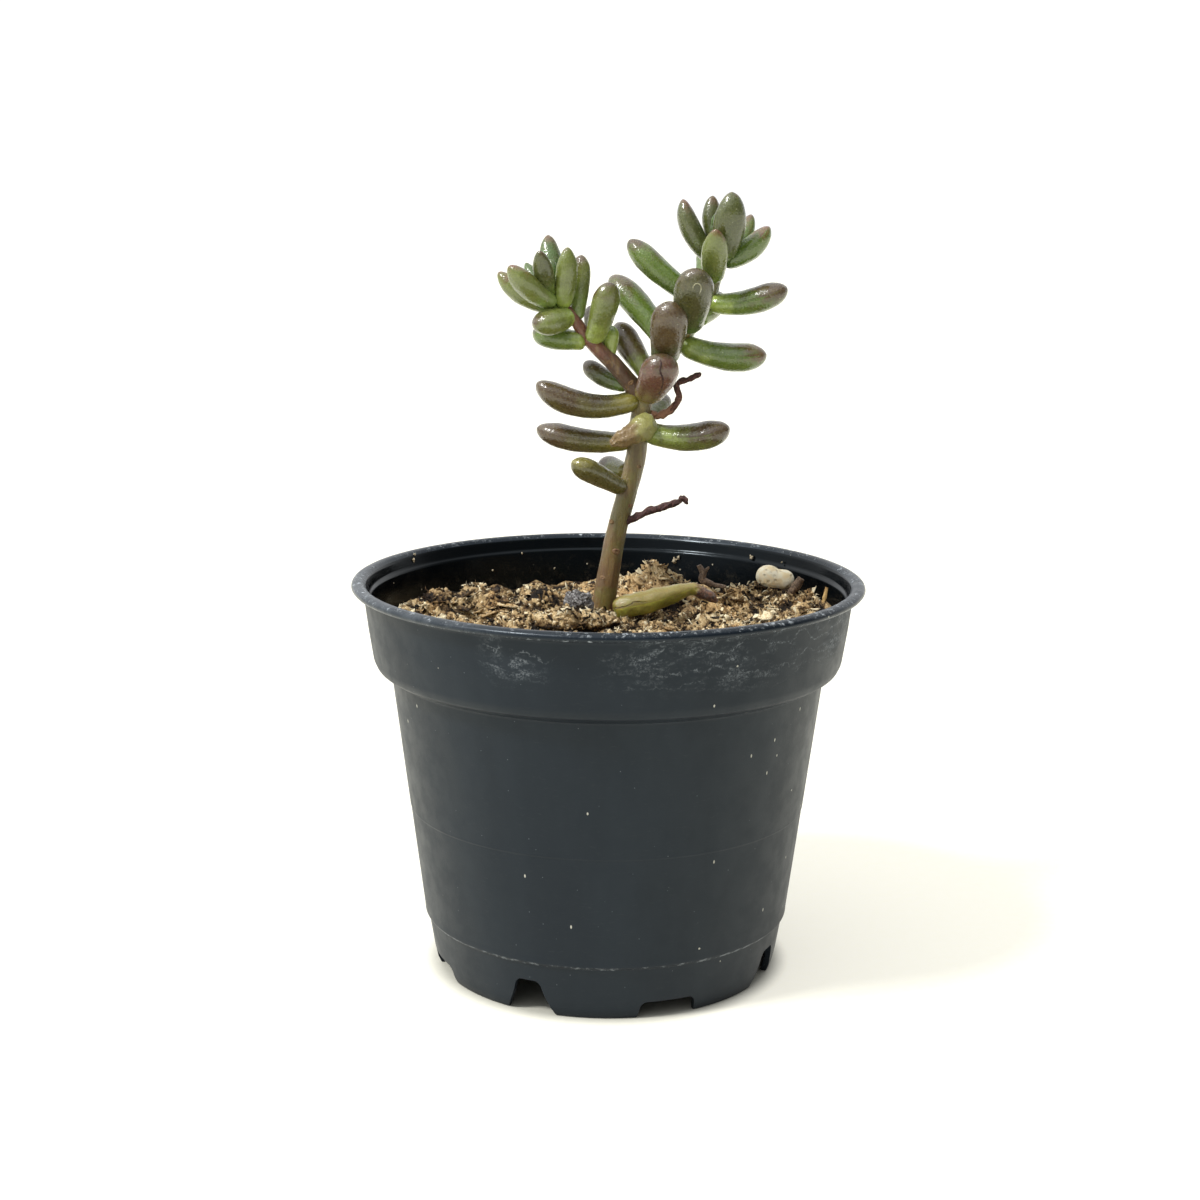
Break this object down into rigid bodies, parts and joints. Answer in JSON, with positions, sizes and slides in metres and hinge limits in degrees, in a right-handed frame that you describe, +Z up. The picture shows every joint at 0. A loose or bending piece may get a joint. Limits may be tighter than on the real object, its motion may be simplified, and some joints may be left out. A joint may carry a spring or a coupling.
{
  "type": "potted jelly bean plant",
  "caption": "Young jelly bean sedum with a leaning stem, a side shoot and plump finger-like leaves, growing in coir in a small round black nursery pot with a notched foot.",
  "frame": {"origin": "middle of the pot's foot, on the surface it stands on", "axes": "+Z up along the pot's axis; the side that was seen faces -Y and +X is to its right"},
  "size_m": [0.105, 0.105, 0.1597],
  "materials": {
    "black_plastic": "thin moulded black plastic, satin, with a haze of limescale on the lip and collar",
    "coir": "dry crumbly coconut fibre and peat",
    "leaf_green": "glossy succulent leaf, green with purple-brown tips; stem olive brown",
    "side_green": "glossy succulent leaf, paler green; stem reddish brown",
    "dried_root": "dry, wrinkled, dark purple brown",
    "yellow_green": "satin, creased, yellow green with a shrivelled brown end",
    "bark_brown": "rough bark",
    "straw_tan": "dry fibre",
    "cream_stone": "pale pitted stone",
    "grey_dust": "dusty grey crumb"
  },
  "bodies": {
    "root": {"pot": "black_plastic", "soil": "coir", "main_shoot": "leaf_green", "side_shoot": "side_green", "lower_aerial_root": "dried_root", "upper_aerial_root": "dried_root", "fallen_leaf": "yellow_green", "forked_twig": "bark_brown", "bark_chip": "bark_brown", "straw": "straw_tan", "pebble": "cream_stone", "grey_crumb": "grey_dust"}
  },
  "joints": []
}
